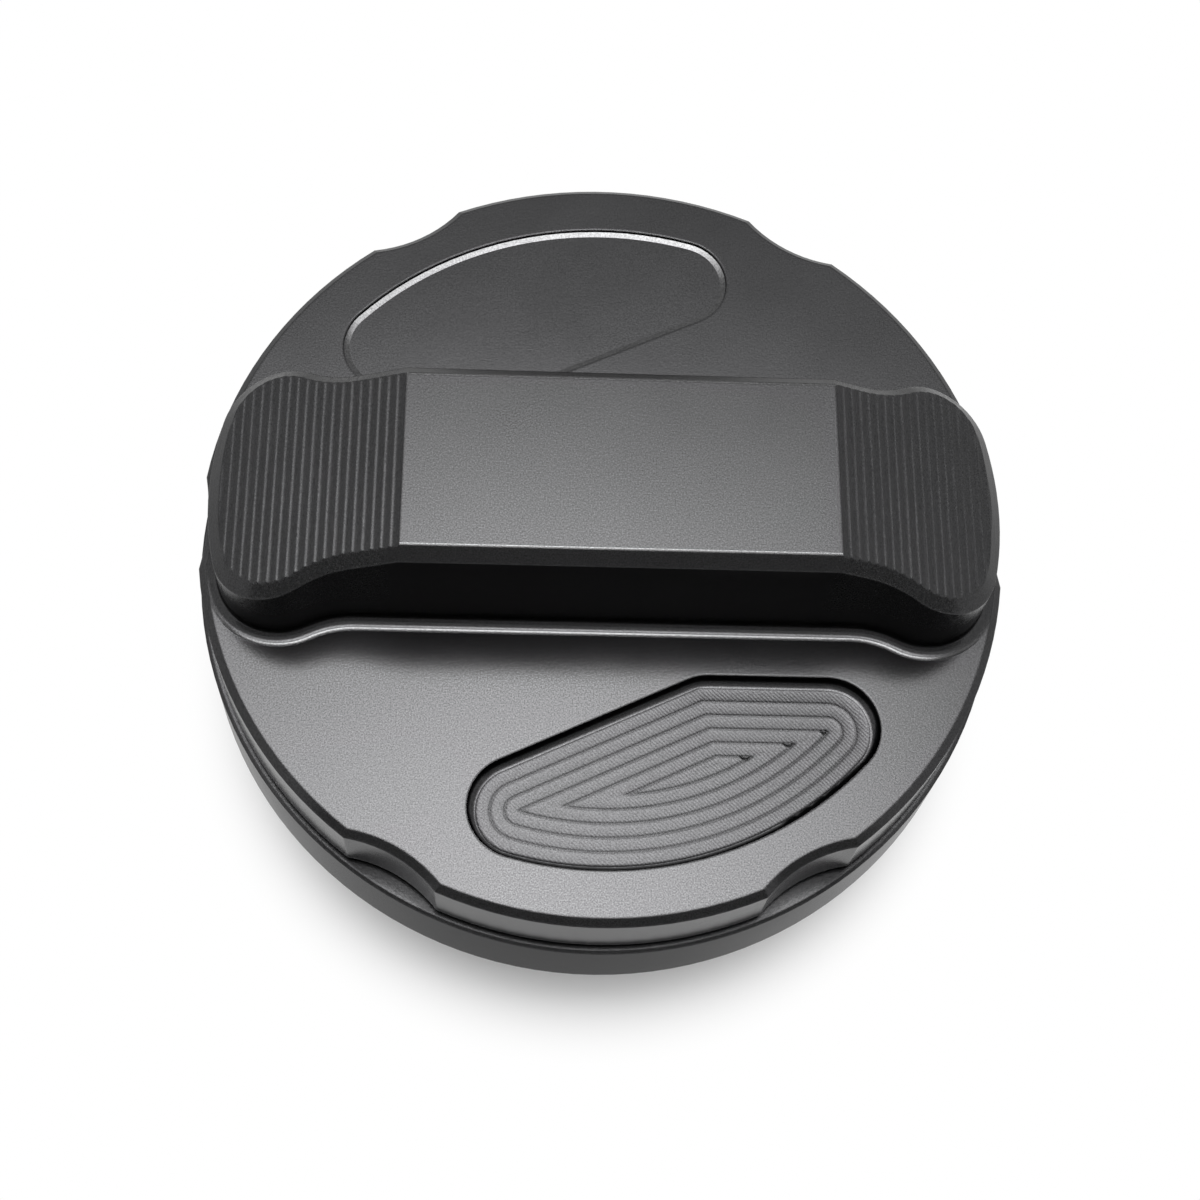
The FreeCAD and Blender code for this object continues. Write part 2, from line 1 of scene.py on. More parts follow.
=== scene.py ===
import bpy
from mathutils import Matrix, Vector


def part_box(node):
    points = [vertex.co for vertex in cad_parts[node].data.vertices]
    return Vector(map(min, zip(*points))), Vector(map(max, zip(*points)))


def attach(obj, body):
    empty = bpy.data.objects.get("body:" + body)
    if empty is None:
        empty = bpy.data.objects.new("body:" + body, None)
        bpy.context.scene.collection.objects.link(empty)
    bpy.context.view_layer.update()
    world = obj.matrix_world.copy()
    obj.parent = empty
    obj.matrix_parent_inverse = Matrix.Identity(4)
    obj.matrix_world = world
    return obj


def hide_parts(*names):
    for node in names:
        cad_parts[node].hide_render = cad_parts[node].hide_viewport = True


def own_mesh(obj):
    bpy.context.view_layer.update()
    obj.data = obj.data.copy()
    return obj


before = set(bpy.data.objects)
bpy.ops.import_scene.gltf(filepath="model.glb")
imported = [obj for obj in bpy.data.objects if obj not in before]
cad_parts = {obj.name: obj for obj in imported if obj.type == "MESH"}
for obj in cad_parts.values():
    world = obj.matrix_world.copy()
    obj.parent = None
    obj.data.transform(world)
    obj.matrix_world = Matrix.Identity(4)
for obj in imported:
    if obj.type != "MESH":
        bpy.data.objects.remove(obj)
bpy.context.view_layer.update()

import math

import bpy
import numpy as np
from mathutils import Matrix, Vector


# The table: a plain matt white sheet that the cap stands on, on the foot of its neck.
# It takes the cap's real soft shadow close in, with a painted shadow falloff round it: a white glow
# that grows with distance from the cap's middle lifts the sheet a little near the cap and to plain
# white further out. From below it is clear, so that the underside can be looked at.
def seen_directly(tree):
    """One for rays from the eye, off a shiny face or through a clear one, else zero."""
    rays = tree.nodes.new("ShaderNodeLightPath")
    seen = rays.outputs["Is Camera Ray"]
    for kind in ("Is Glossy Ray", "Is Transmission Ray"):
        either = tree.nodes.new("ShaderNodeMath")
        either.operation = "MAXIMUM"
        tree.links.new(seen, either.inputs[0])
        tree.links.new(rays.outputs[kind], either.inputs[1])
        seen = either.outputs[0]
    return seen


table_r = 1.2
# Radii of the painted shadow falloff: the glow is small inside shadow_r and full white past
# white_r.
shadow_r, white_r = 0.033, 0.046
painted_shadow_lift = 0.08
bpy.ops.object.select_all(action="DESELECT")
bpy.ops.mesh.primitive_circle_add(vertices=128, radius=table_r, fill_type="NGON",
                                  location=(0, 0, 0))
table = bpy.context.object
table.name = "table_sheet"
sheet_white = bpy.data.materials.new("sheet_white")
sheet_white.use_nodes = True
tree = sheet_white.node_tree
links = tree.links
tree.nodes.clear()
out = tree.nodes.new("ShaderNodeOutputMaterial")
paper = tree.nodes.new("ShaderNodeBsdfDiffuse")
paper.inputs["Color"].default_value = (0.82, 0.82, 0.82, 1)
lift = tree.nodes.new("ShaderNodeEmission")
lift.inputs["Color"].default_value = (1, 1, 1, 1)
place = tree.nodes.new("ShaderNodeTexCoord")
reach = tree.nodes.new("ShaderNodeVectorMath")
reach.operation = "LENGTH"
links.new(place.outputs["Object"], reach.inputs[0])
# Painted shadow falloff: the share of white glow rises outwards from the cap's middle, whatever the
# light does.
painted_shadow_fade = tree.nodes.new("ShaderNodeMapRange")
painted_shadow_fade.interpolation_type = "SMOOTHSTEP"
painted_shadow_fade.inputs["From Min"].default_value = shadow_r
painted_shadow_fade.inputs["From Max"].default_value = white_r
painted_shadow_fade.inputs["To Min"].default_value = painted_shadow_lift
painted_shadow_fade.inputs["To Max"].default_value = 1.0
links.new(reach.outputs["Value"], painted_shadow_fade.inputs["Value"])
both = tree.nodes.new("ShaderNodeMixShader")
links.new(painted_shadow_fade.outputs["Result"], both.inputs[0])
links.new(paper.outputs[0], both.inputs[1])
links.new(lift.outputs[0], both.inputs[2])
pick = tree.nodes.new("ShaderNodeMixShader")
links.new(seen_directly(tree), pick.inputs[0])
links.new(paper.outputs[0], pick.inputs[1])
links.new(both.outputs[0], pick.inputs[2])
clear = tree.nodes.new("ShaderNodeBsdfTransparent")
side = tree.nodes.new("ShaderNodeNewGeometry")
faced = tree.nodes.new("ShaderNodeMixShader")
links.new(side.outputs["Backfacing"], faced.inputs[0])
links.new(pick.outputs[0], faced.inputs[1])
links.new(clear.outputs[0], faced.inputs[2])
links.new(faced.outputs[0], out.inputs["Surface"])
table.data.materials.append(sheet_white)

# The room: white all round for the eye and for reflections, with only a little of it as fill
# light, so that the cap's shadow stays.
room = bpy.data.worlds.new("white_room")
bpy.context.scene.world = room
room.use_nodes = True
tree = room.node_tree
links = tree.links
tree.nodes.clear()
out = tree.nodes.new("ShaderNodeOutputWorld")
white = tree.nodes.new("ShaderNodeBackground")
white.inputs["Color"].default_value = (1, 1, 1, 1)
white.inputs["Strength"].default_value = 1.0
fill = tree.nodes.new("ShaderNodeBackground")
fill.inputs["Color"].default_value = (1, 1, 1, 1)
fill.inputs["Strength"].default_value = 0.48
pick = tree.nodes.new("ShaderNodeMixShader")
links.new(seen_directly(tree), pick.inputs[0])
links.new(fill.outputs[0], pick.inputs[1])
links.new(white.outputs[0], pick.inputs[2])
links.new(pick.outputs[0], out.inputs["Surface"])

# The studio: one large softbox overhead and behind, bright in its middle and weaker to its back and
# sides, and a dark cloth hung behind the camera as a flag, which keeps bevels that face front dark.
softbox_at, softbox_size = (-0.04, 0.15, 0.80), (0.52, 0.58, 1)
bright_y, weak_y = 0.20, 0.44
full_power, back_power = 12.4, 1.7
side_reach, side_share = 0.28, 0.4
bpy.ops.mesh.primitive_plane_add(size=1, location=softbox_at)
softbox = bpy.context.object
softbox.name = "softbox"
softbox.scale = softbox_size
bpy.ops.object.transform_apply(location=True, scale=True)
softbox.visible_camera = False
glow = bpy.data.materials.new("softbox_glow")
glow.use_nodes = True
tree = glow.node_tree
links = tree.links
tree.nodes.clear()
out = tree.nodes.new("ShaderNodeOutputMaterial")
lamp = tree.nodes.new("ShaderNodeEmission")
place = tree.nodes.new("ShaderNodeTexCoord")
axes = tree.nodes.new("ShaderNodeSeparateXYZ")
links.new(place.outputs["Object"], axes.inputs[0])
back_fall = tree.nodes.new("ShaderNodeMapRange")
back_fall.inputs["From Min"].default_value = bright_y
back_fall.inputs["From Max"].default_value = weak_y
back_fall.inputs["To Min"].default_value = full_power
back_fall.inputs["To Max"].default_value = back_power
links.new(axes.outputs["Y"], back_fall.inputs["Value"])
aside = tree.nodes.new("ShaderNodeMath")
aside.operation = "ABSOLUTE"
links.new(axes.outputs["X"], aside.inputs[0])
side_fall = tree.nodes.new("ShaderNodeMapRange")
side_fall.inputs["From Min"].default_value = 0.0
side_fall.inputs["From Max"].default_value = side_reach
side_fall.inputs["To Min"].default_value = 1.0
side_fall.inputs["To Max"].default_value = side_share
links.new(aside.outputs[0], side_fall.inputs["Value"])
power = tree.nodes.new("ShaderNodeMath")
power.operation = "MULTIPLY"
links.new(back_fall.outputs["Result"], power.inputs[0])
links.new(side_fall.outputs["Result"], power.inputs[1])
links.new(power.outputs[0], lamp.inputs["Strength"])
links.new(lamp.outputs[0], out.inputs["Surface"])
softbox.data.materials.append(glow)
flag_r, flag_h, flag_mid_z, flag_end_y = 0.62, 0.56, 0.29, -0.33
bpy.ops.mesh.primitive_cylinder_add(vertices=64, radius=flag_r, depth=flag_h,
                                    end_fill_type="NOTHING", location=(0, 0, flag_mid_z))
flag = bpy.context.object
flag.name = "dark_flag"
bpy.ops.object.transform_apply(location=True)
bpy.ops.object.mode_set(mode="EDIT")
bpy.ops.mesh.select_all(action="SELECT")
bpy.ops.mesh.bisect(plane_co=(0, flag_end_y, 0), plane_no=(0, 1, 0), clear_outer=True)
bpy.ops.object.mode_set(mode="OBJECT")
flag.visible_camera = False
flag_cloth = bpy.data.materials.new("flag_cloth")
flag_cloth.use_nodes = True
shader = flag_cloth.node_tree.nodes["Principled BSDF"]
shader.inputs["Base Color"].default_value = (0.46, 0.46, 0.46, 1)
shader.inputs["Roughness"].default_value = 1.0
flag.data.materials.append(flag_cloth)

# The camera: above and in front of the cap, close in, turned a little about its own axis.
# Its distance is measured from the middle of the knob's face, which lies below the bar's top.
grip_rise = 0.0153
eye_distance = 0.217321
face_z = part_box("knob")[1].z - grip_rise
azimuth, elevation, roll = math.radians(-6.698), math.radians(65.738), math.radians(7.522)
back = Vector((math.sin(azimuth) * math.cos(elevation), -math.cos(azimuth) * math.cos(elevation),
               math.sin(elevation)))
level = Vector((math.cos(azimuth), math.sin(azimuth), 0))
above = back.cross(level)
right = level * math.cos(roll) + above * math.sin(roll)
up = above * math.cos(roll) - level * math.sin(roll)
eye = Vector((0, 0, face_z)) + back * eye_distance
bpy.ops.object.camera_add()
camera = bpy.context.object
camera.name = "camera"
camera.matrix_world = Matrix(((right.x, up.x, back.x, eye.x), (right.y, up.y, back.y, eye.y),
                              (right.z, up.z, back.z, eye.z), (0, 0, 0, 1)))
camera.data.sensor_width = 36.0
camera.data.lens = 65.975
camera.data.shift_x = -0.0031
camera.data.shift_y = -0.0586
camera.data.clip_start = 0.01
bpy.context.scene.camera = camera
bpy.context.scene.view_settings.view_transform = "Standard"


# The knob and the flange ring: turned and milled from aluminium bar, bead blasted to a satin
# grain and hard anodised gunmetal grey. Edges keep a hair of rounding that catches the light.
def blasted_billet(name, tint, smooth, coarse, edge_tint=0.74):
    metal = bpy.data.materials.new(name)
    metal.use_nodes = True
    tree = metal.node_tree
    links = tree.links
    shader = tree.nodes["Principled BSDF"]
    shader.inputs["Metallic"].default_value = 1.0
    shader.inputs["Specular Tint"].default_value = (edge_tint, edge_tint, edge_tint, 1)
    place = tree.nodes.new("ShaderNodeTexCoord")
    cloud = tree.nodes.new("ShaderNodeTexNoise")
    cloud.inputs["Scale"].default_value = 120
    cloud.inputs["Detail"].default_value = 4
    speck = tree.nodes.new("ShaderNodeTexNoise")
    speck.inputs["Scale"].default_value = 7000
    speck.inputs["Detail"].default_value = 2
    grain = tree.nodes.new("ShaderNodeTexNoise")
    grain.inputs["Scale"].default_value = 5200
    grain.inputs["Detail"].default_value = 3
    for texture in (cloud, speck, grain):
        links.new(place.outputs["Object"], texture.inputs["Vector"])
    shade = tree.nodes.new("ShaderNodeMapRange")
    shade.inputs["From Min"].default_value = 0.3
    shade.inputs["From Max"].default_value = 0.7
    shade.inputs["To Min"].default_value = 0.66
    shade.inputs["To Max"].default_value = 1.34
    links.new(speck.outputs["Fac"], shade.inputs["Value"])
    drift = tree.nodes.new("ShaderNodeMapRange")
    drift.inputs["To Min"].default_value = 0.93
    drift.inputs["To Max"].default_value = 1.07
    links.new(cloud.outputs["Fac"], drift.inputs["Value"])
    amount = tree.nodes.new("ShaderNodeMath")
    amount.operation = "MULTIPLY"
    links.new(shade.outputs["Result"], amount.inputs[0])
    links.new(drift.outputs["Result"], amount.inputs[1])
    colour = tree.nodes.new("ShaderNodeVectorMath")
    colour.operation = "SCALE"
    colour.inputs[0].default_value = tint
    links.new(amount.outputs[0], colour.inputs["Scale"])
    links.new(colour.outputs["Vector"], shader.inputs["Base Color"])
    rough = tree.nodes.new("ShaderNodeMapRange")
    rough.inputs["To Min"].default_value = smooth
    rough.inputs["To Max"].default_value = coarse
    links.new(cloud.outputs["Fac"], rough.inputs["Value"])
    links.new(rough.outputs["Result"], shader.inputs["Roughness"])
    edge = tree.nodes.new("ShaderNodeBevel")
    edge.samples = 6
    edge.inputs["Radius"].default_value = 0.0003
    bump = tree.nodes.new("ShaderNodeBump")
    bump.inputs["Strength"].default_value = 0.16
    bump.inputs["Distance"].default_value = 0.00003
    links.new(grain.outputs["Fac"], bump.inputs["Height"])
    links.new(edge.outputs["Normal"], bump.inputs["Normal"])
    links.new(bump.outputs["Normal"], shader.inputs["Normal"])
    return metal


def finish_node(node, material):
    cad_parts[node].data.materials.clear()
    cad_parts[node].data.materials.append(material)


billet_turned = blasted_billet("billet_turned", (0.047, 0.047, 0.048), 0.20, 0.25, edge_tint=0.45)
finish_node("base_flange", billet_turned)

# The knob's own metal: the same blasted billet, a little darker and smoother than the ring. The
# falling pads of its bar have dull milling streaks along their ribs.
pad_start_x, pad_full_x = 0.0198, 0.0212
pad_low, pad_high = 0.0040, 0.0055
across_ribs, along_ribs = 5200, 130
billet_grey = blasted_billet("billet_grey", (0.043, 0.043, 0.044), 0.17, 0.22)
tree = billet_grey.node_tree
links = tree.links
shader = tree.nodes["Principled BSDF"]
place = tree.nodes.new("ShaderNodeTexCoord")
axes = tree.nodes.new("ShaderNodeSeparateXYZ")
links.new(place.outputs["Object"], axes.inputs[0])
out_x = tree.nodes.new("ShaderNodeMath")
out_x.operation = "ABSOLUTE"
links.new(axes.outputs["X"], out_x.inputs[0])
beyond = tree.nodes.new("ShaderNodeMapRange")
beyond.inputs["From Min"].default_value = pad_start_x
beyond.inputs["From Max"].default_value = pad_full_x
links.new(out_x.outputs[0], beyond.inputs["Value"])
raised = tree.nodes.new("ShaderNodeMapRange")
raised.inputs["From Min"].default_value = face_z + pad_low
raised.inputs["From Max"].default_value = face_z + pad_high
links.new(axes.outputs["Z"], raised.inputs["Value"])
on_pad = tree.nodes.new("ShaderNodeMath")
on_pad.operation = "MULTIPLY"
links.new(beyond.outputs["Result"], on_pad.inputs[0])
links.new(raised.outputs["Result"], on_pad.inputs[1])
stretch = tree.nodes.new("ShaderNodeMapping")
stretch.inputs["Scale"].default_value = (across_ribs, along_ribs, across_ribs)
links.new(place.outputs["Object"], stretch.inputs["Vector"])
streak = tree.nodes.new("ShaderNodeTexNoise")
streak.inputs["Scale"].default_value = 1.0
streak.inputs["Detail"].default_value = 2
links.new(stretch.outputs["Vector"], streak.inputs["Vector"])
streak_rough = tree.nodes.new("ShaderNodeMapRange")
streak_rough.inputs["From Min"].default_value = 0.3
streak_rough.inputs["From Max"].default_value = 0.7
streak_rough.inputs["To Min"].default_value = 0.12
streak_rough.inputs["To Max"].default_value = 0.36
links.new(streak.outputs["Fac"], streak_rough.inputs["Value"])
mix = tree.nodes.new("ShaderNodeMix")
links.new(on_pad.outputs[0], mix.inputs["Factor"])
links.new(shader.inputs["Roughness"].links[0].from_socket, mix.inputs["A"])
links.new(streak_rough.outputs["Result"], mix.inputs["B"])
links.new(mix.outputs["Result"], shader.inputs["Roughness"])
finish_node("knob", billet_grey)

# The tool passes on the floor of the front pocket: the cutter worked inwards ring by ring, and each
# pass left a flat band with a fine sharp crest where it met the one before. Where the passes turn
# sharply, three small burrs stand.
pocket_depth = 0.0016
pass_width = 0.00138
pass_hollow = 0.000018
crest_height = 0.000042
crest_half = 0.00013
corner_r, outer_r, side_y = 0.005, 0.0345, 0.01505
slant, slant_off = math.radians(25.1), 0.0175
along = np.array((math.cos(slant), math.sin(slant)))
away = np.array((math.sin(slant), -math.cos(slant)))
mid_r = outer_r - corner_r
big = np.array((math.sqrt(mid_r ** 2 - (side_y + corner_r) ** 2), -(side_y + corner_r)))
deep_off = slant_off + corner_r
small = away * deep_off - along * math.sqrt(mid_r ** 2 - deep_off ** 2)


def wall_distance(p):
    """Distance in from the pocket's outline, for points inside it."""
    side = -side_y - p[..., 1]
    slanted = p @ away - slant_off
    outer = outer_r - np.hypot(p[..., 0], p[..., 1])
    d = np.minimum(np.minimum(side, slanted), outer)
    out_big, out_small = big / np.linalg.norm(big), small / np.linalg.norm(small)
    for centre, a, b in ((big, np.array((0.0, 1.0)), out_big), (small, -away, out_small)):
        q = p - centre
        cross = a[0] * b[1] - a[1] * b[0]
        s = (q[..., 0] * b[1] - q[..., 1] * b[0]) / cross
        t = (a[0] * q[..., 1] - a[1] * q[..., 0]) / cross
        rounded = corner_r - np.hypot(q[..., 0], q[..., 1])
        d = np.where((s > 0) & (t > 0), np.minimum(d, rounded), d)
    return d


def outline_inset(depth):
    """The pocket's outline moved in by a depth: one point on each ray from its middle."""
    low, high = np.zeros(rays_around), np.full(rays_around, search_reach)
    for _ in range(halvings):
        half = (low + high) / 2
        inside = wall_distance(middle + heading * half[:, None]) > depth
        low, high = np.where(inside, half, low), np.where(inside, high, half)
    return middle + heading * low[:, None]


def ring_bands(count):
    """Faces between rings of points that follow each other inwards."""
    bands = []
    for i in range(count - 1):
        outer, inner = i * rays_around, (i + 1) * rays_around
        for j in range(rays_around):
            k = (j + 1) % rays_around
            bands.append((outer + j, outer + k, inner + k, inner + j))
    return bands


def new_piece(name, verts, edges, faces):
    """A mesh piece in the scene, selected by itself."""
    mesh = bpy.data.meshes.new(name)
    mesh.from_pydata(verts, edges, faces)
    piece = bpy.data.objects.new(name, mesh)
    bpy.context.scene.collection.objects.link(piece)
    bpy.ops.object.select_all(action="DESELECT")
    piece.select_set(True)
    bpy.context.view_layer.objects.active = piece
    return piece


xs, ys = np.meshgrid(np.linspace(-0.014, 0.028, 421), np.linspace(-0.036, -0.014, 221))
spots = np.stack((xs, ys), -1)
spread = wall_distance(spots)
middle = spots.reshape(-1, 2)[spread.argmax()]
deepest = spread.max()
rays_around, search_reach, halvings = 720, 0.05, 40
angles = np.linspace(0, 2 * math.pi, rays_around, endpoint=False)
heading = np.stack((np.cos(angles), np.sin(angles)), -1)
first_pass, centre_gap = 0.00078, 0.00004
floor_lift, centre_lift = 0.00001, 0.00003
shares = np.array((0.0, 0.045, 0.095, 0.22, 0.36, 0.5, 0.64, 0.78, 0.905, 0.955))
turns = np.arange(0, math.ceil((deepest - first_pass) / pass_width))
levels = (first_pass + pass_width * (turns[:, None] + shares[None, :])).ravel()
levels = levels[levels < deepest - centre_gap]
floor_z = face_z - pocket_depth
rings = []
for depth in levels:
    phase = ((depth - first_pass) / pass_width) % 1.0
    near_crest = min(phase, 1 - phase) * pass_width
    height = floor_z + floor_lift + pass_hollow * (2 * phase - 1) ** 2
    height += crest_height * max(0.0, 1 - near_crest / crest_half)
    rings.append(np.column_stack((outline_inset(depth), np.full(rays_around, height))))
verts = [tuple(v) for ring in rings for v in ring]
verts.append((middle[0], middle[1], floor_z + centre_lift))
faces = ring_bands(len(rings))
last = (len(rings) - 1) * rays_around
for j in range(rays_around):
    faces.append((last + j, last + (j + 1) % rays_around, len(verts) - 1))
burr_back, burr_high, burr_deep, burr_skew = 0.0001, 0.0003, 0.00042, 0.00002
burr_drop = np.array((0, burr_skew, -burr_high))
for turn, wide in ((3, 0.00065), (4, 0.0010), (5, 0.0010)):
    ring = rings[turn * len(shares)]
    tip = ring[ring[:, 0].argmax()]
    a = tip + (-burr_back, 0, burr_high)
    b = tip + (-burr_back - wide, burr_skew, burr_high)
    c = tip + (-burr_back - wide * 0.35, -burr_deep, -burr_skew)
    first = len(verts)
    verts += [tuple(v) for v in (a, b, c, a + burr_drop, b + burr_drop)]
    faces += [(first, first + 1, first + 2), (first, first + 3, first + 4, first + 1),
              (first, first + 2, first + 3), (first + 1, first + 4, first + 2)]
passes = new_piece("pocket_tool_passes", verts, [], faces)
bpy.ops.object.shade_smooth_by_angle(angle=math.radians(12))
billet_milled = blasted_billet("billet_milled", (0.040, 0.040, 0.041), 0.23, 0.29)
tree = billet_milled.node_tree
place = tree.nodes.new("ShaderNodeTexCoord")
feed = tree.nodes.new("ShaderNodeTexWave")
feed.bands_direction = "DIAGONAL"
feed.inputs["Scale"].default_value = 1500
feed.inputs["Distortion"].default_value = 1.5
feed_bump = tree.nodes.new("ShaderNodeBump")
feed_bump.inputs["Strength"].default_value = 0.10
feed_bump.inputs["Distance"].default_value = 0.00004
tree.links.new(place.outputs["Object"], feed.inputs["Vector"])
tree.links.new(feed.outputs["Fac"], feed_bump.inputs["Height"])
tree.links.new(tree.nodes["Bevel"].outputs["Normal"], feed_bump.inputs["Normal"])
tree.links.new(feed_bump.outputs["Normal"], tree.nodes["Bump"].inputs["Normal"])
passes.data.materials.append(billet_milled)
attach(passes, "turning_knob")

# The finishing cut round the floor of the back pocket: a narrow band beside its wall, left a few
# degrees off level and smoother than the blasted floor, so that it shows as a bright line. Its
# colour, lighter than the knob's own metal, adds a painted highlight to the real one.
band_rows = ((0.00003, 0.00030), (0.00007, 0.000312), (0.00055, 0.000385), (0.00062, 0.000398))
rings = []
for depth, drop in band_rows:
    rings.append(np.column_stack((-outline_inset(depth), np.full(rays_around, face_z - drop))))
verts = [tuple(v) for ring in rings for v in ring]
pocket_edge = new_piece("back_pocket_edge", verts, [], ring_bands(len(rings)))
bpy.ops.object.shade_smooth()
# A smoother finish whose colour is lighter than the knob's own metal: a painted highlight.
billet_painted_highlight = blasted_billet("billet_painted_highlight", (0.075, 0.075, 0.076), 0.11, 0.15)
pocket_edge.data.materials.append(billet_painted_highlight)
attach(pocket_edge, "turning_knob")

# The bright line round the foot of the grip bar: the last finishing pass left a narrow facet along
# the edge of the land, a few degrees off level. It ends where the land runs out at the rim. Its
# lighter colour than the knob's metal is a painted highlight.
half_w, bulb_half, bulb_r = 0.0100, 0.01183, 0.0059
end_r, end_x, neck_r = 0.0294, 0.0381, 0.0105
line_rows = ((0.00098, 0.000158), (0.00120, 0.000111), (0.00126, 0.000002))
rim_limit = 0.0383
end_cx, bulb_cy, neck_cy = end_x - end_r, bulb_half - bulb_r, half_w + neck_r
bulb_cx = end_cx + math.sqrt((end_r - bulb_r) ** 2 - bulb_cy ** 2)
neck_cx = bulb_cx - math.sqrt((neck_r + bulb_r) ** 2 - (neck_cy - bulb_cy) ** 2)
lean = math.atan2(bulb_cx - neck_cx, neck_cy - bulb_cy)
tip_turn = math.atan2(bulb_cy, bulb_cx - end_cx)
runs = []
for grow, rise in line_rows:
    half_run = [(x, half_w + grow) for x in np.linspace(0, neck_cx, 24)]
    for turn in np.linspace(0, lean, 24)[1:]:
        r = neck_r - grow
        half_run.append((neck_cx + r * math.sin(turn), neck_cy - r * math.cos(turn)))
    for turn in np.linspace(math.pi / 2 + lean, tip_turn, 40)[1:]:
        r = bulb_r + grow
        half_run.append((bulb_cx + r * math.cos(turn), bulb_cy + r * math.sin(turn)))
    runs.append([(x, -y, face_z + rise) for x, y in half_run])
on_face = [i for i in range(len(runs[0]))
           if max(math.hypot(run[i][0], run[i][1]) for run in runs) < rim_limit]
verts, faces = [], []
for flip_x in (1, -1):
    for flip_y in (1, -1):
        first = len(verts)
        for i in on_face:
            verts += [(run[i][0] * flip_x, run[i][1] * flip_y, run[i][2]) for run in runs]
        for n in range(len(on_face) - 1):
            for m in (0, 1):
                a = first + 3 * n + m
                faces.append((a, a + 1, a + 4, a + 3))
foot_line = new_piece("grip_foot_line", verts, [], faces)
bpy.ops.object.mode_set(mode="EDIT")
bpy.ops.mesh.select_all(action="SELECT")
bpy.ops.mesh.remove_doubles(threshold=0.000001)
bpy.ops.mesh.normals_make_consistent(inside=False)
bpy.ops.object.mode_set(mode="OBJECT")
bpy.ops.object.shade_smooth_by_angle(angle=math.radians(20))
foot_line.data.materials.append(billet_painted_highlight)
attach(foot_line, "turning_knob")

# The bright line on the front and back edges of the bar's flat top: the corner above the bevel is
# broken by a narrow facet, in the same smooth finish, whose lighter colour is a painted highlight.
# The back facet lies level.
bevel = 0.0013
flat_left, flat_right, stations = -0.0193, 0.0211, 41
top_z = face_z + grip_rise
edge_y = half_w - bevel
front_rows = ((edge_y - 0.00009, top_z + 0.000010), (edge_y + 0.00010, top_z - 0.000016),
              (edge_y + 0.00013, top_z - 0.00014))
back_rows = ((edge_y - 0.00009, top_z + 0.000010), (edge_y + 0.00016, top_z + 0.000008),
             (edge_y + 0.00019, top_z - 0.00014))
verts, faces = [], []
for rows, flip_y in ((back_rows, 1), (front_rows, -1)):
    first = len(verts)
    for x in np.linspace(flat_left, flat_right, stations):
        verts += [(x, y * flip_y, z) for y, z in rows]
    for n in range(stations - 1):
        for m in (0, 1):
            a = first + 3 * n + m
            faces.append((a, a + 1, a + 4, a + 3)[::-flip_y])
edge_line = new_piece("grip_edge_line", verts, [], faces)
edge_line.data.materials.append(billet_painted_highlight)
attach(edge_line, "turning_knob")


# The plug: one black glass-filled nylon moulding, which six screws hold up under the flange. The
# faint mottle of glass fibre shows near its skin.
def made_surface(name, colour, metallic, smooth, coarse, grain, relief):
    surface = bpy.data.materials.new(name)
    surface.use_nodes = True
    tree = surface.node_tree
    links = tree.links
    shader = tree.nodes["Principled BSDF"]
    shader.inputs["Metallic"].default_value = metallic
    place = tree.nodes.new("ShaderNodeTexCoord")
    mottle = tree.nodes.new("ShaderNodeTexNoise")
    mottle.inputs["Scale"].default_value = 260
    mottle.inputs["Detail"].default_value = 5
    fine = tree.nodes.new("ShaderNodeTexNoise")
    fine.inputs["Scale"].default_value = grain
    fine.inputs["Detail"].default_value = 3
    links.new(place.outputs["Object"], mottle.inputs["Vector"])
    links.new(place.outputs["Object"], fine.inputs["Vector"])
    shade = tree.nodes.new("ShaderNodeMapRange")
    shade.inputs["To Min"].default_value = 0.75
    shade.inputs["To Max"].default_value = 1.25
    links.new(mottle.outputs["Fac"], shade.inputs["Value"])
    tone = tree.nodes.new("ShaderNodeVectorMath")
    tone.operation = "SCALE"
    tone.inputs[0].default_value = colour
    links.new(shade.outputs["Result"], tone.inputs["Scale"])
    links.new(tone.outputs["Vector"], shader.inputs["Base Color"])
    rough = tree.nodes.new("ShaderNodeMapRange")
    rough.inputs["To Min"].default_value = smooth
    rough.inputs["To Max"].default_value = coarse
    links.new(fine.outputs["Fac"], rough.inputs["Value"])
    links.new(rough.outputs["Result"], shader.inputs["Roughness"])
    edge = tree.nodes.new("ShaderNodeBevel")
    edge.samples = 4
    edge.inputs["Radius"].default_value = 0.0002
    bump = tree.nodes.new("ShaderNodeBump")
    bump.inputs["Strength"].default_value = 0.3
    bump.inputs["Distance"].default_value = relief
    links.new(fine.outputs["Fac"], bump.inputs["Height"])
    links.new(edge.outputs["Normal"], bump.inputs["Normal"])
    links.new(bump.outputs["Normal"], shader.inputs["Normal"])
    return surface


black_nylon = made_surface("black_nylon", (0.022, 0.022, 0.023), 0.0, 0.40, 0.58, 2400, 0.00003)
finish_node("threaded_plug", black_nylon)

# The neck's thread: a coarse two-start ridge, moulded in one with the plug. One start is wound from
# its section by a screw step, thinned out at both ends, and copied half a turn round.
thread_lead, thread_low, root_in = 0.011, 0.0031, 0.0200
half_section = ((root_in, 0.0015), (0.0205, 0.0014), (0.0210, 0.0009), (0.02135, 0.00045))
thread_steps, run_out, end_height = 96, 0.10, 0.4
section = [(r, 0.0, thread_low - z) for r, z in half_section]
section += [(r, 0.0, thread_low + z) for r, z in reversed(half_section)]
outline = [(i, (i + 1) % len(section)) for i in range(len(section))]
thread = new_piece("neck_thread_a", section, outline, [])
wind = thread.modifiers.new("wind", "SCREW")
wind.axis = "Z"
wind.angle = 2 * math.pi
wind.screw_offset = thread_lead
wind.steps = wind.render_steps = thread_steps
wind.use_normal_calculate = True
bpy.ops.object.modifier_apply(modifier="wind")
bpy.ops.object.mode_set(mode="EDIT")
bpy.ops.mesh.select_all(action="SELECT")
bpy.ops.mesh.fill_holes(sides=12)
bpy.ops.mesh.normals_make_consistent(inside=False)
bpy.ops.object.mode_set(mode="OBJECT")
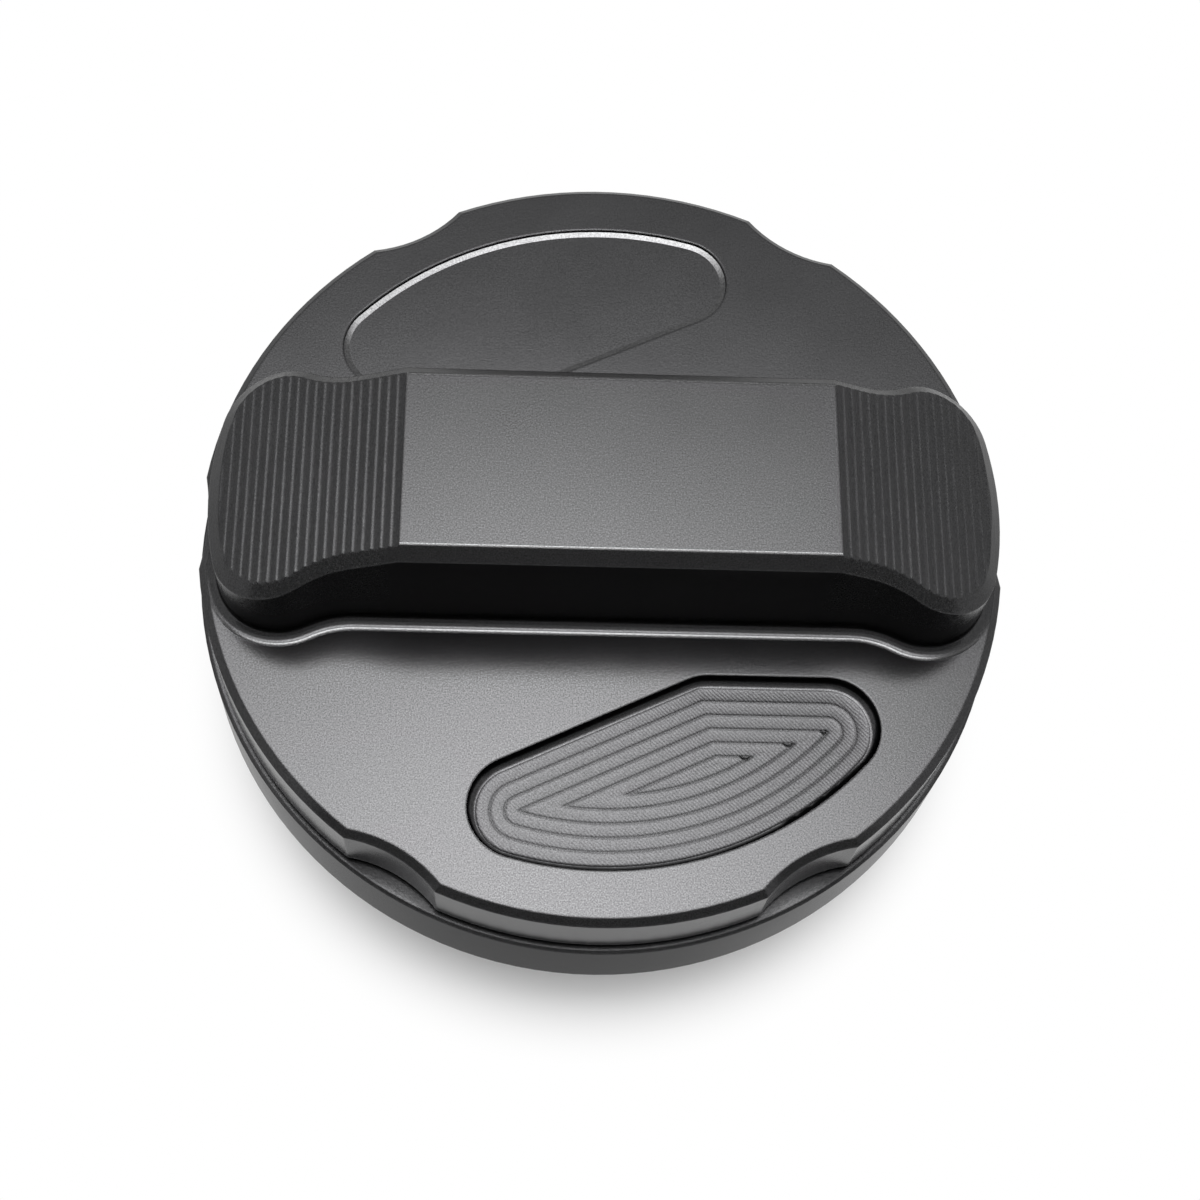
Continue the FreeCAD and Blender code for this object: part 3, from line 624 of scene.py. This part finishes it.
for v in thread.data.vertices:
    turn = (math.atan2(v.co.y, v.co.x) / (2 * math.pi)) % 1.0
    turn += round((v.co.z - thread_low - thread_lead * turn) / thread_lead)
    full = min(1.0, max(0.0, min(turn, 1 - turn) / run_out))
    full = full * full * (3 - 2 * full)
    r = math.hypot(v.co.x, v.co.y)
    grown = (root_in + (r - root_in) * full) / r
    middle_z = thread_low + thread_lead * turn
    tall = end_height + (1 - end_height) * full
    v.co = (v.co.x * grown, v.co.y * grown, middle_z + (v.co.z - middle_z) * tall)
bpy.ops.object.shade_smooth_by_angle(angle=math.radians(40))
thread.data.materials.append(black_nylon)
thread_b = bpy.data.objects.new("neck_thread_b", thread.data.copy())
thread_b.data.transform(Matrix.Rotation(math.pi, 4, "Z"))
bpy.context.scene.collection.objects.link(thread_b)
for piece in (thread, thread_b):
    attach(piece, "base")

# The washer in the seam: black nylon too, and smoother than the plug, because the knob runs on it.
# It lies between the knob and the flange.
slip_nylon = made_surface("slip_nylon", (0.012, 0.012, 0.012), 0.0, 0.45, 0.55, 1800, 0.00002)
finish_node("slip_ring", slip_nylon)

# The gasket on the neck and the valve's seal: matt black rubber, moulded as rings. The gasket sits
# under the flange, and the seal under the pressure plate.
seal_rubber = made_surface("seal_rubber", (0.016, 0.016, 0.016), 0.0, 0.68, 0.85, 1500, 0.00005)
finish_node("neck_gasket", seal_rubber)
finish_node("valve_seal", seal_rubber)

# The ratchet's two toothed rings: natural acetal, slightly waxy. Screws hold the upper one to the
# knob, and keys hold the lower one to the plug.
natural_acetal = made_surface("natural_acetal", (0.74, 0.72, 0.66), 0.0, 0.32, 0.46, 900, 0.00002)
finish_node("drive_ring", natural_acetal)
finish_node("detent_ring", natural_acetal)

# Screws, rings, the retainer and the clip: bright drawn and stamped steel. They hold the knob, the
# plug and the valve together.
bright_steel = made_surface("bright_steel", (0.56, 0.56, 0.57), 1.0, 0.22, 0.36, 3000, 0.00001)
for node in ("retaining_ring", "drive_ring_screws", "plug_screws", "spring_retainer", "snap_ring",
             "poppet_clip"):
    finish_node(node, bright_steel)

# The pressure plate and the vacuum poppet: turned brass. The poppet's stem slides in a guide in the
# middle of the plate.
turned_brass = made_surface("turned_brass", (0.70, 0.53, 0.25), 1.0, 0.24, 0.36, 2600, 0.00001)
finish_node("pressure_plate", turned_brass)
finish_node("vacuum_poppet", turned_brass)

# The three springs: the same bright steel. Each is drawn again as a copy of its own, which rides
# with its body. The last two sizes are its fitted length and its travel.
spring_seats = (("wave_spring", "base", "detent_slide", 0.0262, 0.0029, 0.00105),
                ("pressure_spring", "base", "pressure_slide", 0.0210, 0.0138, 0.0025),
                ("vacuum_spring", "pressure_valve", "vacuum_slide", 0.0072, 0.0060, 0.0015))
for node, body, joint, seat_z, length, travel in spring_seats:
    finish_node(node, bright_steel)
    spring = bpy.data.objects.new(node + "_wound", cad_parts[node].data.copy())
    bpy.context.scene.collection.objects.link(spring)
    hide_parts(node)
    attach(spring, body)
    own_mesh(spring)
